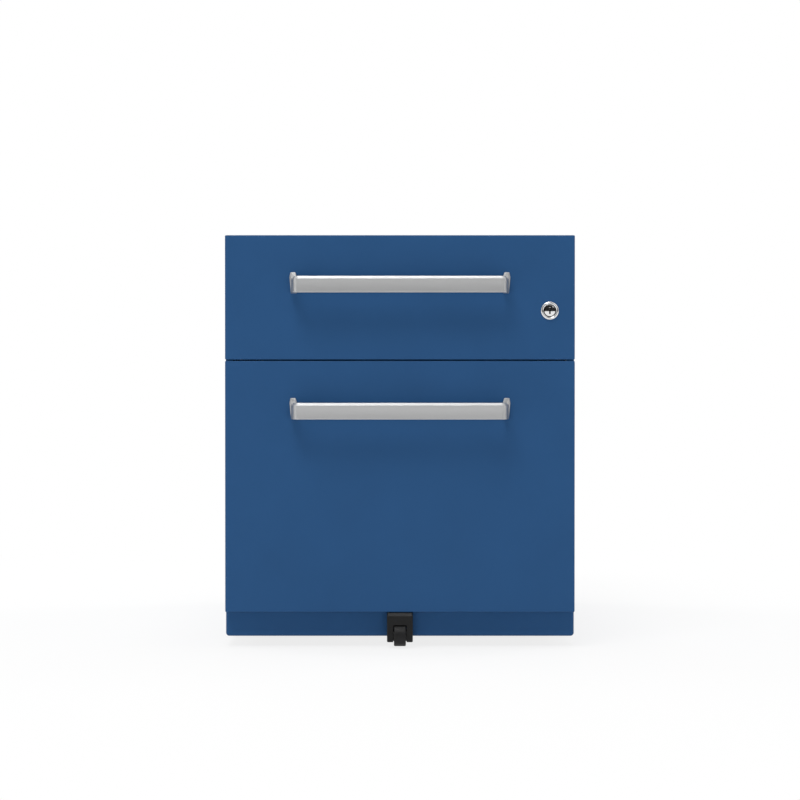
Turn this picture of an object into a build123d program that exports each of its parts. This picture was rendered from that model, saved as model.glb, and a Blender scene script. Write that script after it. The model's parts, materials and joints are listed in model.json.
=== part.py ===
from build123d import *
import math
import os

# Rolling drawer cabinet in millimetres: X to the right, Y to the back, Z up, floor at Z zero.

# Whole cabinet
WIDTH = 420.0                  # outside of the carcase
HEIGHT = 495.0                 # floor to top
DEPTH = 565.0                  # drawer faces to back
SHEET = 1.0                    # steel sheet of carcase, fronts and trays
OVERRUN = 10.0                 # how far a cut runs past the face that it opens

# Carcase
SKIRT_Z = 12.5                 # lower edge above the floor
TOP_BEND = 2.0                 # inside radii of the folds
SKIRT_BEND = 3.0
EDGE_BEND = 0.5
SKIRT_FLANGE = 14.0            # inward flange under each side
FRONT_RETURN = 8.8             # flange round the drawer opening
BACK_RETURN = 12.0             # flange that the back panel lies on
PANEL_FIT = 0.2                # sheet edges that slide into each other
PLINTH_WRAP = 18.0             # how far the plinth runs round the corners
PLINTH_SEAM = 0.4
BACK_FLANGE = 12.0             # depth of the folded back panel
BASE_TOP = 56.0                # top of the base pan and of the plinth
BASE_FLANGE = 12.0

# Uprights that carry the runners
UPRIGHT_DEPTH = 8.0
UPRIGHT_CROWN = 34.0
UPRIGHT_FLANGE = 9.0
UPRIGHT_BEND = 1.0             # inside radius
UPRIGHT_TOP_GAP = 14.0         # below the top sheet
UPRIGHT_FRONT_GAP = 0.5        # behind the front flange of the carcase
UPRIGHT_BACK_STEP = 1.5        # rear crown ahead of the runner's end

# Drawer fronts
FRONT_INSET = 0.5              # front narrower than the carcase on each side
FRONT_DEPTH = 16.0
FRONT_GAP = 2.0                # from the front to the carcase
FRONT_BEND = 0.5               # inside radius
FRONT_LIP = 11.5               # return lip on the back of the front
FRONT_SEAM = 1.4               # between the two fronts
UPPER_FRONT_HEIGHT = 149.0
LOWER_FRONT_Z = 43.2           # lower edge above the floor

# Trays
TRAY_BACK_GAP = 16.0           # from the back panel
TRAY_BEND = 1.0                # inside radius
TRAY_RIM = 7.0                 # inward fold along the top of the walls
UPPER_TRAY_RISE = 5.0          # above the lower edge of its front
UPPER_TRAY_DROP = 33.0         # below the top of its front
LOWER_TRAY_RISE = 10.0         # above the base pan
LOWER_TRAY_DROP = 9.6          # below the top of its front

# Telescopic runners
RUNNER_HEIGHT = 38.0
RUNNER_THICKNESS = 12.7
RUNNER_SHEET = 1.2
RUNNER_BEND = 0.9              # inside radius
RUNNER_SETBACK = 26.0          # behind the carcase front
RUNNER_BACK_GAP = 8.0          # from the back panel
UPPER_RUNNER_RISE = 14.0       # middle above the floor of its tray
LOWER_RUNNER_RISE = 124.0
OUTER_WEB_GAP = 1.4            # between the webs of outer and intermediate member
INNER_WEB_GAP = 1.6            # between intermediate web and inner member
LIP_END_GAP = 0.8              # between lip ends and the next web
BALL_DIAMETER = 3.4
BALL_GAP = 0.3                 # from a ball to each race
CAGE_SHEET = 0.6
CAGE_BEND = 0.3                # inside radius
CAGE_FIT = 0.15                # round each ball in its cage
CAGE_LENGTH = 160.0
CAGE_SETBACK = 140.0           # behind the front end of the runner
BALLS_PER_ROW = 3
BALL_PITCH = 60.0
RIVET_HEAD = 7.0               # rivets that hold the drawer members to the trays
RIVET_HEAD_HEIGHT = 1.8
RIVET_ROUND = 1.2
RIVET_INSET = 45.0             # first and last rivet from the ends of the runner
RIVETS_PER_MEMBER = 3

# Bow handles
HANDLE_REACH = 34.0            # out from the drawer face
HANDLE_PITCH = 254.0           # between the two screws
HANDLE_DROP = 59.8             # middle of the bar below the top of its front
BAR_OVERHANG = 0.2             # end of the bar past each screw
BAR_HEIGHT = 20.6
BAR_THICKNESS = 6.0
BAR_CORNER = 4.5               # bend at each end, on the middle line
BAR_BEVEL_HEIGHT = 3.4         # along the top of the bar
BAR_BEVEL_DEPTH = 2.6
BAR_ROUND = 1.0
LEG_SPLAY = 3.1                # each leg wider at the drawer face
FOOT_INNER = 3.4               # sides of the foot from the screw
FOOT_OUTER = 5.3
FOOT_TAPER = 1.8               # foot narrower at its lower end
FOOT_ROUND = 1.2
EAR_RISE = 5.0                 # foot above the top of the bar
EAR_SLANT = 1.5
EAR_SHOULDER = 1.2
FLANGE_THICKNESS = 2.4
FLANGE_ROUND = 0.6
NECK_WIDTH = 7.0               # of the leg where it leaves the flange
NECK_END_WIDTH = 6.4
NECK_DEPTH = 10.0
GUSSET_LENGTH = 11.0           # from the drawer face to the toe of the gusset
SCREW_DIAMETER = 4.0
SCREW_FIT = 0.1
SCREW_HEAD = 8.0
SCREW_HEAD_HEIGHT = 2.6
SCREW_GRIP = 6.5               # length inside the foot

# Bump stops
STOP_DIAMETER = 7.0
STOP_THICKNESS = 1.8
STOP_INSET = 22.0              # from the ends of the front

# Lock
LOCK_INSET = 30.6              # axis from the right side
LOCK_DROP = 90.5               # axis below the top
BEZEL_DIAMETER = 22.4
BEZEL_HEIGHT = 3.0
BEZEL_RIM = 0.7                # upright outer edge of the bezel
BEZEL_RIM_ROUND = 0.5
BEZEL_DISH = 1.1               # fall from the crest to the core
CREST_DIAMETER = 17.6
CREST_ROUND = 1.0
BARREL_DIAMETER = 17.0
BARREL_FIT = 0.15
LOCK_NUT_DIAMETER = 25.0
LOCK_NUT_HEIGHT = 3.0
CORE_DIAMETER = 13.0
CORE_FIT = 0.08
CORE_RECESS = 0.8              # middle of the core face behind the crest
CORE_CROWN_RADIUS = 26.0       # of the domed core face
KEYWAY_WIDTH = 1.9
KEYWAY_HEIGHT = 8.0
KEYWAY_DEPTH = 9.0
TAIL_SIDE = 7.0                # square tail that carries the cam
TAIL_PROUD = 0.7               # tail behind the cam
TAIL_END_GAP = 0.8             # from the tail to the tray
TAIL_FIT = 0.05
CAM_GAP = 0.5                  # between barrel and cam
CAM_SHEET = 2.0
CAM_HUB_RADIUS = 7.5
CAM_TIP_RADIUS = 3.4
CAM_SWEEP = 45.0               # degrees to each side of level
PIN_DIAMETER = 3.0
PIN_SIDE_GAP = 0.6             # from the pin to the tray at both ends of its sweep
PIN_OVERLAP = 1.6              # how far the pin passes through the lock bar

# Lock bar, its guide studs and the catch studs on the trays
BAR_SHEET = 1.6
BAR_WIDTH = 16.0
BAR_SLIP = 0.4                 # from the bar to the upright
BAR_SETBACK = 5.5              # behind the carcase front
BAR_END = 5.0                  # bar past its last tab and slot
TAB_SIDE_GAP = 1.0             # from tabs and fork to the tray
TAB_SPARE = 1.2                # tab taller than the lift
FORK_GAP = 0.7                 # round the pin
FORK_WALL = 2.6
GUIDE_DIAMETER = 4.0
GUIDE_HEAD = 8.0
GUIDE_HEAD_HEIGHT = 1.2
GUIDE_SLIP = 0.2
GUIDE_SETBACK = 9.0            # behind the front edge of the bar
UPPER_GUIDE_RISE = 6.0         # guide studs above the catch studs
LOWER_GUIDE_RISE = 30.0
CATCH_DIAMETER = 4.0
CATCH_LENGTH = 8.2
CATCH_SETBACK = 1.4            # behind the tab
CATCH_DROP_GAP = 3.5           # tab below the stud when unlocked
UPPER_CATCH_DROP = 12.0        # below the top of its tray
LOWER_CATCH_DROP = 35.0

# Fifth castor under the lower front
FIFTH_WIDTH = 31.0
FIFTH_PROUD = 4.0              # in front of the drawer face
FIFTH_BACK_GAP = 0.5
FIFTH_LIFT = 7.5               # housing above the floor
FIFTH_TOP_GAP = 1.0            # shoulder below the drawer front
FIFTH_BEVEL = 3.2
FIFTH_ROUND = 1.5
FIFTH_NECK_INSET = 3.0         # neck narrower than the housing
FIFTH_NECK_SETBACK = 3.0       # neck behind the drawer face
FIFTH_SIDE_GAP = 0.9           # from the wheel to each cheek
FIFTH_SLOT_GAP = 1.6           # round the wheel
FIFTH_WHEEL_DIAMETER = 26.4
FIFTH_WHEEL_WIDTH = 14.4
FIFTH_WHEEL_LIFT = 2.2         # wheel above the floor
FIFTH_WHEEL_ROUND = 1.4
FIFTH_PLINTH_GAP = 1.2         # from the wheel to the plinth
FIFTH_BOSS_DIAMETER = 14.4
FIFTH_BOSS_DEPTH = 0.5         # boss of each cheek inside the wheel's recess
FIFTH_BOSS_GAP = 0.3           # from the boss to the recess
FIFTH_AXLE_DIAMETER = 5.0
FIFTH_AXLE_INSET = 2.2         # axle ends inside the cheeks
FIFTH_SCREW_SETBACK = 6.5      # behind the axle
FIFTH_SCREW_DIAMETER = 3.0
FIFTH_SCREW_HEAD = 5.4
FIFTH_SCREW_HEAD_HEIGHT = 3.0
FIFTH_SCREW_END = 5.0          # screw above the lower edge of the front

# Four hidden castors
CASTOR_SIDE_INSET = 62.0       # stem from the side
CASTOR_FRONT_INSET = 135.0     # front stems from the drawer faces
CASTOR_BACK_INSET = 76.0       # rear stems from the back
CASTOR_WHEEL_DIAMETER = 40.0
CASTOR_WHEEL_WIDTH = 11.0
CASTOR_TREAD_ROUND = 2.5
CASTOR_DISH = 2.0              # recess in the outer face of a wheel
CASTOR_DISH_SHARE = 0.68       # of the wheel's radius
CASTOR_WEB = 9.0
CASTOR_WEB_RADIUS = 9.0        # of the web round the axle
CASTOR_WEB_GAP = 0.4
CASTOR_TRAIL = 18.0
CASTOR_HOOD_SHEET = 2.4
CASTOR_HOOD_GAP = 1.4
CASTOR_HOOD_RISE = 3.0         # lower edge of the hood above the axle
CASTOR_BOSS_DIAMETER = 18.0
CASTOR_AXLE_DIAMETER = 6.0
STEM_DIAMETER = 8.0
STEM_FIT = 0.1
STEM_DEPTH = 17.0              # inside the boss
STEM_COLLAR_DIAMETER = 16.0
STEM_COLLAR_HEIGHT = 2.0
STEM_COLLAR_GAP = 0.2
STEM_END = 7.5                 # above the base pan
NUT_SIZE = 13.0                # across flats
NUT_HEIGHT = 6.5
RUNNING_FIT = 0.1
PRESS_FIT = 0.05

# Planes that several pieces share
FACE_Y = HANDLE_REACH - (DEPTH + HANDLE_REACH) / 2
BACK_Y = FACE_Y + DEPTH
FRONT_BACK_Y = FACE_Y + FRONT_DEPTH
BODY_Y = FRONT_BACK_Y + FRONT_GAP
UPRIGHT_X = WIDTH / 2 - SHEET - UPRIGHT_DEPTH
TRAY_X = UPRIGHT_X - RUNNER_THICKNESS
RUNNER_Y = BODY_Y + RUNNER_SETBACK
RUNNER_LENGTH = BACK_Y - SHEET - BACK_FLANGE - RUNNER_BACK_GAP - RUNNER_Y
UPPER_FRONT_Z = HEIGHT - UPPER_FRONT_HEIGHT
LOWER_FRONT_TOP = UPPER_FRONT_Z - FRONT_SEAM
UPPER_TRAY_Z = UPPER_FRONT_Z + UPPER_TRAY_RISE
UPPER_TRAY_TOP = HEIGHT - UPPER_TRAY_DROP
LOWER_TRAY_Z = BASE_TOP + LOWER_TRAY_RISE
LOWER_TRAY_TOP = LOWER_FRONT_TOP - LOWER_TRAY_DROP
UPPER_RUNNER_Z = UPPER_TRAY_Z + UPPER_RUNNER_RISE
LOWER_RUNNER_Z = LOWER_TRAY_Z + LOWER_RUNNER_RISE
LOCK_X = WIDTH / 2 - LOCK_INSET
LOCK_Z = HEIGHT - LOCK_DROP
TAIL_LENGTH = CAM_GAP + CAM_SHEET + TAIL_PROUD
BARREL_LENGTH = FRONT_DEPTH - TAIL_LENGTH - TAIL_END_GAP
CAM_Y = FACE_Y + BARREL_LENGTH + CAM_GAP
CAM_COSINE_SHARE = math.cos(math.radians(CAM_SWEEP))
CAM_RADIUS = (TRAY_X + PIN_SIDE_GAP + PIN_DIAMETER / 2 - LOCK_X) / CAM_COSINE_SHARE
CAM_RISE = CAM_RADIUS * math.sin(math.radians(CAM_SWEEP))
BAR_LIFT = 2 * CAM_RISE
BAR_Y = BODY_Y + BAR_SETBACK
BAR_X = UPRIGHT_X - BAR_SLIP
CATCH_Y = BAR_Y + BAR_SHEET + CATCH_SETBACK + CATCH_DIAMETER / 2
UPPER_CATCH_Z = UPPER_TRAY_TOP - UPPER_CATCH_DROP
LOWER_CATCH_Z = LOWER_TRAY_TOP - LOWER_CATCH_DROP
UPPER_GUIDE_Z = UPPER_CATCH_Z + UPPER_GUIDE_RISE
LOWER_GUIDE_Z = LOWER_CATCH_Z + LOWER_GUIDE_RISE
FIFTH_Y = BODY_Y - FIFTH_PLINTH_GAP - FIFTH_WHEEL_DIAMETER / 2
FIFTH_Z = FIFTH_WHEEL_LIFT + FIFTH_WHEEL_DIAMETER / 2
FIFTH_SLOT = FIFTH_WHEEL_WIDTH + 2 * FIFTH_SIDE_GAP
FIFTH_AXLE_LENGTH = FIFTH_WIDTH - 2 * FIFTH_AXLE_INSET
BASE_UNDER_Z = BASE_TOP - SHEET
CASTOR_X = WIDTH / 2 - CASTOR_SIDE_INSET
CASTOR_PLACES = {
    "front_left": (-CASTOR_X, FACE_Y + CASTOR_FRONT_INSET),
    "front_right": (CASTOR_X, FACE_Y + CASTOR_FRONT_INSET),
    "rear_left": (-CASTOR_X, BACK_Y - CASTOR_BACK_INSET),
    "rear_right": (CASTOR_X, BACK_Y - CASTOR_BACK_INSET),
}
SIDE_OF = {
    "left": (Axis.X, 0),
    "right": (Axis.X, -1),
    "front": (Axis.Y, 0),
    "back": (Axis.Y, -1),
    "bottom": (Axis.Z, 0),
    "top": (Axis.Z, -1),
}


# Shapes that many pieces are made from

def block(low, high):
    """Plain block between two corners."""
    size = Vector(*high) - Vector(*low)
    return Pos(*low) * Box(size.X, size.Y, size.Z, align=(Align.MIN, Align.MIN, Align.MIN))


def rod(radius, start, end):
    """Round bar between two points."""
    run = Vector(*end) - Vector(*start)
    return extrude(Plane(origin=start, z_dir=run) * Circle(radius), amount=run.length)


def bent_block(low, high, radius, open_to):
    """Block whose edges are rounded, except round the sides that stay open."""
    body = block(low, high)
    edges = body.edges()
    for side in open_to:
        axis, index = SIDE_OF[side]
        edges = edges - body.faces().sort_by(axis)[index].edges()
    return fillet(edges, radius)


def pan(low, high, bend, open_to):
    """Folded sheet pan between two corners, without walls on its open sides."""
    inner_low = [value + SHEET for value in low]
    inner_high = [value - SHEET for value in high]
    for side in open_to:
        axis, index = SIDE_OF[side]
        place = (Axis.X, Axis.Y, Axis.Z).index(axis)
        if index == 0:
            inner_low[place] = low[place] - OVERRUN
        else:
            inner_high[place] = high[place] + OVERRUN
    outer = bent_block(low, high, bend + SHEET, open_to)
    return outer - bent_block(inner_low, inner_high, bend, open_to)


def strip_along_y(points, bend, thickness, start, length):
    """Rolled strip: the middle line of its section in X and Z, pulled back from a start in Y."""
    section = trace(FilletPolyline(*points, radius=bend + thickness / 2), thickness)
    return extrude(Plane.XZ.offset(-start) * section, amount=-length)


def group(shapes):
    """Several separate solids under one name."""
    return Compound([solid for shape in shapes for solid in shape.solids()])


def both_sides(shape):
    """The right-hand shape and its mirror image, as one group."""
    return group([mirror(shape, about=Plane.YZ), shape])


# Carcase

def carcase_wrap():
    """Sides and top from one sheet, with flanges round the front, the back and the lower edges."""
    def wrapped_block(inset):
        side = Plane.XZ.offset(-(BODY_Y + inset))
        outline = Pos(0, (SKIRT_Z + HEIGHT) / 2) * Rectangle(WIDTH - 2 * inset, HEIGHT - SKIRT_Z - 2 * inset)
        corners = outline.vertices().group_by(Axis.Y)
        outline = fillet(corners[-1], TOP_BEND + SHEET - inset)
        outline = fillet(outline.vertices().group_by(Axis.Y)[0], SKIRT_BEND + SHEET - inset)
        return extrude(side * outline, amount=-(BACK_Y - BODY_Y - 2 * inset))

    outer = wrapped_block(0)
    ends = outer.faces().sort_by(Axis.Y)
    outer = fillet(ends[0].edges() + ends[-1].edges(), EDGE_BEND + SHEET)
    half = WIDTH / 2
    front_window = block(
        (FRONT_RETURN - half, BODY_Y - OVERRUN, SKIRT_Z - OVERRUN),
        (half - FRONT_RETURN, BODY_Y + OVERRUN, HEIGHT - FRONT_RETURN))
    back_window = block(
        (BACK_RETURN - half, BACK_Y - OVERRUN, SKIRT_Z - OVERRUN),
        (half - BACK_RETURN, BACK_Y + OVERRUN, HEIGHT - BACK_RETURN))
    floor_window = block(
        (SKIRT_FLANGE - half, BODY_Y - OVERRUN, SKIRT_Z - OVERRUN),
        (half - SKIRT_FLANGE, BACK_Y + OVERRUN, SKIRT_Z + SHEET + SKIRT_BEND))
    plinth_notch = block(
        (-half - OVERRUN, BODY_Y - OVERRUN, SKIRT_Z - OVERRUN),
        (half + OVERRUN, BODY_Y + PLINTH_WRAP + PLINTH_SEAM, BASE_TOP + PLINTH_SEAM))
    return outer - wrapped_block(SHEET) - front_window - back_window - floor_window - plinth_notch


def front_plinth():
    """Folded plinth that wraps the two front corners below the drawers."""
    return pan(
        (-WIDTH / 2, BODY_Y, SKIRT_Z),
        (WIDTH / 2, BODY_Y + PLINTH_WRAP, BASE_TOP),
        SKIRT_BEND, ("back", "top"))


def back_panel():
    """Folded back panel, set in from behind against the flanges of the wrap."""
    half = WIDTH / 2 - SHEET - PANEL_FIT
    return pan(
        (-half, BACK_Y - SHEET - BACK_FLANGE, SKIRT_Z + SHEET),
        (half, BACK_Y - SHEET, HEIGHT - SHEET - PANEL_FIT),
        SKIRT_BEND, ("front",))


def base_pan():
    """Folded base with a hole for each castor stem."""
    half = WIDTH / 2 - SHEET - PANEL_FIT
    base = pan(
        (-half, BODY_Y + SHEET, BASE_TOP - BASE_FLANGE),
        (half, BACK_Y - SHEET - BACK_FLANGE, BASE_TOP),
        SKIRT_BEND, ("bottom",))
    for x, y in CASTOR_PLACES.values():
        base -= rod(STEM_DIAMETER / 2 + STEM_FIT, (x, y, BASE_TOP - OVERRUN), (x, y, BASE_TOP + OVERRUN))
    return base


def runner_uprights():
    """Front and rear hat-section upright on the right-hand side."""
    outer = WIDTH / 2 - SHEET - SHEET / 2
    inner = UPRIGHT_X + SHEET / 2
    bottom = Plane.XY.offset(BASE_TOP)
    height = HEIGHT - SHEET - UPRIGHT_TOP_GAP - BASE_TOP
    first = BODY_Y + SHEET + UPRIGHT_FRONT_GAP
    last = RUNNER_Y + RUNNER_LENGTH - UPRIGHT_BACK_STEP - UPRIGHT_CROWN - UPRIGHT_FLANGE
    uprights = []
    for start in (first, last):
        rise = start + UPRIGHT_FLANGE
        fall = rise + UPRIGHT_CROWN
        line = FilletPolyline(
            (outer, start), (outer, rise), (inner, rise),
            (inner, fall), (outer, fall), (outer, fall + UPRIGHT_FLANGE),
            radius=UPRIGHT_BEND + SHEET / 2)
        uprights.append(extrude(bottom * trace(line, SHEET), amount=height))
    return group(uprights)


# Runners: sections are drawn for the right-hand side, about the runner's middle height

def channel(web_x, lip_x, half_height, middle):
    """Middle line of a C section whose web is at one X and whose lips end at another."""
    return (
        (lip_x, middle + half_height),
        (web_x, middle + half_height),
        (web_x, middle - half_height),
        (lip_x, middle - half_height),
    )


RACE_STEP = BALL_DIAMETER + 2 * BALL_GAP + RUNNER_SHEET
OUTER_HALF = RUNNER_HEIGHT / 2 - RUNNER_SHEET / 2
MIDDLE_HALF = OUTER_HALF - RACE_STEP
INNER_HALF = MIDDLE_HALF - RACE_STEP
OUTER_WEB_X = UPRIGHT_X - RUNNER_SHEET / 2
MIDDLE_WEB_X = OUTER_WEB_X - OUTER_WEB_GAP - RUNNER_SHEET
INNER_WEB_X = TRAY_X + RUNNER_SHEET / 2
MIDDLE_LIP_X = INNER_WEB_X + RUNNER_SHEET / 2 + LIP_END_GAP
INNER_LIP_X = MIDDLE_WEB_X - RUNNER_SHEET / 2 - INNER_WEB_GAP


def outer_member(middle):
    """Cabinet member, open towards the drawer."""
    points = channel(OUTER_WEB_X, MIDDLE_LIP_X, OUTER_HALF, middle)
    return strip_along_y(points, RUNNER_BEND, RUNNER_SHEET, RUNNER_Y, RUNNER_LENGTH)


def intermediate_member(middle):
    """Floating member that runs in the cabinet member."""
    points = channel(MIDDLE_WEB_X, MIDDLE_LIP_X, MIDDLE_HALF, middle)
    return strip_along_y(points, RUNNER_BEND, RUNNER_SHEET, RUNNER_Y, RUNNER_LENGTH)


def inner_member(middle):
    """Drawer member, open towards the carcase, with the rivets that hold it to the tray."""
    points = channel(INNER_WEB_X, INNER_LIP_X, INNER_HALF, middle)
    member = strip_along_y(points, RUNNER_BEND, RUNNER_SHEET, RUNNER_Y, RUNNER_LENGTH)
    seat = INNER_WEB_X + RUNNER_SHEET / 2
    pitch = (RUNNER_LENGTH - 2 * RIVET_INSET) / (RIVETS_PER_MEMBER - 1)
    for count in range(RIVETS_PER_MEMBER):
        y = RUNNER_Y + RIVET_INSET + count * pitch
        head = rod(RIVET_HEAD / 2, (seat, y, middle), (seat + RIVET_HEAD_HEIGHT, y, middle))
        member += fillet(head.faces().sort_by(Axis.X)[-1].edges(), RIVET_ROUND)
    return member


def ball_cage(web_x, lip_x, half_height, middle):
    """Ball cage of one stage: a thin channel with two rows of balls in its lips."""
    start = RUNNER_Y + CAGE_SETBACK
    points = channel(web_x, lip_x, half_height, middle)
    cage = strip_along_y(points, CAGE_BEND, CAGE_SHEET, start, CAGE_LENGTH)
    ball_x = (web_x + lip_x) / 2
    first_y = start + (CAGE_LENGTH - (BALLS_PER_ROW - 1) * BALL_PITCH) / 2
    balls = []
    for row in (half_height, -half_height):
        for count in range(BALLS_PER_ROW):
            centre = Pos(ball_x, first_y + count * BALL_PITCH, middle + row)
            cage -= centre * Cylinder(BALL_DIAMETER / 2 + CAGE_FIT, BALL_DIAMETER)
            balls.append(centre * Sphere(BALL_DIAMETER / 2))
    return group([cage, *balls])


def outer_cage(middle):
    """Cage between cabinet member and intermediate member."""
    web_x = (OUTER_WEB_X + MIDDLE_WEB_X) / 2
    return ball_cage(web_x, MIDDLE_LIP_X, (OUTER_HALF + MIDDLE_HALF) / 2, middle)


def inner_cage(middle):
    """Cage between intermediate member and drawer member."""
    web_x = MIDDLE_WEB_X - RUNNER_SHEET / 2 - INNER_WEB_GAP / 2
    return ball_cage(web_x, MIDDLE_LIP_X, (MIDDLE_HALF + INNER_HALF) / 2, middle)


# Drawers

def handle_places(front_top):
    """Screw axes of one handle, as X and Z."""
    height = front_top - HANDLE_DROP
    return ((-HANDLE_PITCH / 2, height), (HANDLE_PITCH / 2, height))


def drawer_front(bottom, top):
    """Folded hollow front with a return lip on its back and holes for the handle screws."""
    half = WIDTH / 2 - FRONT_INSET
    body = bent_block((-half, FACE_Y, bottom), (half, FRONT_BACK_Y, top), FRONT_BEND + SHEET, ("back",))
    hollow = bent_block(
        (SHEET - half, FACE_Y + SHEET, bottom + SHEET),
        (half - SHEET, FRONT_BACK_Y - SHEET, top - SHEET), FRONT_BEND, ())
    window = block(
        (FRONT_LIP - half, FRONT_BACK_Y - OVERRUN, bottom + FRONT_LIP),
        (half - FRONT_LIP, FRONT_BACK_Y + OVERRUN, top - FRONT_LIP))
    front = body - hollow - window
    for x, z in handle_places(top):
        front -= rod(SCREW_DIAMETER / 2 + SCREW_FIT, (x, FACE_Y - OVERRUN, z), (x, FACE_Y + OVERRUN, z))
    return front


def upper_front():
    """Upper front with the round hole of the lock."""
    hole = rod(
        BARREL_DIAMETER / 2 + BARREL_FIT,
        (LOCK_X, FACE_Y - OVERRUN, LOCK_Z), (LOCK_X, FACE_Y + SHEET + OVERRUN, LOCK_Z))
    return drawer_front(UPPER_FRONT_Z, HEIGHT) - hole


def lower_front():
    """Lower front with the screw holes of the fifth castor in its lower fold."""
    front = drawer_front(LOWER_FRONT_Z, LOWER_FRONT_TOP)
    for x, y in fifth_screw_places():
        front -= rod(
            FIFTH_SCREW_DIAMETER / 2 + SCREW_FIT,
            (x, y, LOWER_FRONT_Z - OVERRUN), (x, y, LOWER_FRONT_Z + SHEET + OVERRUN))
    return front


def tray(bottom, top, front_top):
    """Folded drawer tray with an inward rim and holes for the handle screws."""
    end = BACK_Y - SHEET - BACK_FLANGE - TRAY_BACK_GAP
    body = bent_block((-TRAY_X, FRONT_BACK_Y, bottom), (TRAY_X, end, top), TRAY_BEND + SHEET, ())
    hollow = bent_block(
        (SHEET - TRAY_X, FRONT_BACK_Y + SHEET, bottom + SHEET),
        (TRAY_X - SHEET, end - SHEET, top - SHEET), TRAY_BEND, ())
    mouth = block(
        (TRAY_RIM - TRAY_X, FRONT_BACK_Y + TRAY_RIM, top - OVERRUN),
        (TRAY_X - TRAY_RIM, end - TRAY_RIM, top + OVERRUN))
    shape = body - hollow - mouth
    for x, z in handle_places(front_top):
        shape -= rod(
            SCREW_DIAMETER / 2 + SCREW_FIT,
            (x, FRONT_BACK_Y - OVERRUN, z), (x, FRONT_BACK_Y + OVERRUN, z))
    return shape


def bar_section():
    """Section of the bar, with a bevel along its upper outer edge."""
    half_x = BAR_THICKNESS / 2
    half_z = BAR_HEIGHT / 2
    outline = Polygon(
        (-half_x, -half_z), (half_x, -half_z), (half_x, half_z),
        (BAR_BEVEL_DEPTH - half_x, half_z), (-half_x, half_z - BAR_BEVEL_HEIGHT), align=None)
    return fillet(outline.vertices(), BAR_ROUND)


def bow_handle(front_top):
    """Bow handle: a bevelled bar bent back at its ends into two splayed legs on flanged feet."""
    height = front_top - HANDLE_DROP
    bar_x = HANDLE_PITCH / 2 + BAR_OVERHANG - BAR_THICKNESS / 2
    bar_y = FACE_Y - HANDLE_REACH + BAR_THICKNESS / 2
    leg_x = bar_x + LEG_SPLAY
    leg_y = FACE_Y - FLANGE_THICKNESS / 2
    run = leg_y - bar_y
    path = FilletPolyline(
        (-leg_x, leg_y, height), (-bar_x, bar_y, height), (bar_x, bar_y, height), (leg_x, leg_y, height),
        radius=BAR_CORNER)
    start = Plane(origin=(-leg_x, leg_y, height), x_dir=(run, LEG_SPLAY, 0), z_dir=(LEG_SPLAY, -run, 0))
    handle = sweep(start * bar_section(), path)
    neck_x = leg_x - LEG_SPLAY * (NECK_DEPTH - FLANGE_THICKNESS / 2) / run
    foot = handle_foot(height, leg_x, neck_x)
    handle += foot
    handle += mirror(foot, about=Plane.YZ)
    for x, z in handle_places(front_top):
        handle -= rod(
            SCREW_DIAMETER / 2 + SCREW_FIT, (x, FACE_Y + OVERRUN, z), (x, FACE_Y - SCREW_GRIP - SCREW_FIT, z))
    return handle


def handle_foot(height, leg_x, neck_x):
    """Right-hand foot: a flange with an ear, a neck round the screw and a gusset behind the ear."""
    half = BAR_HEIGHT / 2
    top = half + EAR_RISE
    inner = HANDLE_PITCH / 2 - FOOT_INNER
    outer = HANDLE_PITCH / 2 + FOOT_OUTER
    face = Plane(origin=(0, FACE_Y, height), x_dir=(1, 0, 0), z_dir=(0, -1, 0))
    outline = Polygon(
        (inner, -half), (outer - FOOT_TAPER, -half), (outer, half), (outer - EAR_SHOULDER, top),
        (inner + EAR_SLANT, top), (inner, half), align=None)
    flange = extrude(face * fillet(outline.vertices(), FOOT_ROUND), amount=FLANGE_THICKNESS)
    flange = fillet(flange.faces().sort_by(Axis.Y)[0].edges(), FLANGE_ROUND)
    neck = loft([
        face * Pos(leg_x, 0) * RectangleRounded(NECK_WIDTH, BAR_HEIGHT, BAR_ROUND),
        face.offset(NECK_DEPTH) * Pos(neck_x, 0) * RectangleRounded(NECK_END_WIDTH, BAR_HEIGHT, BAR_ROUND)])
    rear = FACE_Y - FLANGE_THICKNESS / 2
    toe = FACE_Y - GUSSET_LENGTH
    sunk = height + half - BAR_ROUND
    curve = Bezier((toe, sunk), (rear, height + half), (rear, height + top - FOOT_ROUND))
    profile = make_face(curve + Polyline(curve @ 1, (rear, sunk), curve @ 0))
    width = outer - EAR_SHOULDER - inner - 2 * EAR_SLANT
    gusset = extrude(Plane.YZ.offset(inner + EAR_SLANT) * profile, amount=width)
    return flange + neck + gusset


def handle_screws(front_top):
    """Two screws through tray and front into the feet of the handle."""
    seat = FRONT_BACK_Y + SHEET
    screws = []
    for x, z in handle_places(front_top):
        screw = rod(SCREW_DIAMETER / 2, (x, FACE_Y - SCREW_GRIP, z), (x, seat, z))
        screw += rod(SCREW_HEAD / 2, (x, seat, z), (x, seat + SCREW_HEAD_HEIGHT, z))
        screws.append(screw)
    return group(screws)


def bump_stops(bottom, top):
    """Four rubber discs on the back of a front, opposite the flange of the carcase."""
    x = WIDTH / 2 - FRONT_RETURN / 2
    stops = []
    for z in (bottom + STOP_INSET, top - STOP_INSET):
        stops.append(rod(STOP_DIAMETER / 2, (x, FRONT_BACK_Y, z), (x, FRONT_BACK_Y + STOP_THICKNESS, z)))
    return both_sides(group(stops))


def catch_stud(height):
    """Stud on the right side of a tray that the lock bar holds back."""
    return rod(CATCH_DIAMETER / 2, (TRAY_X, CATCH_Y, height), (TRAY_X + CATCH_LENGTH, CATCH_Y, height))


# Lock

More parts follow.
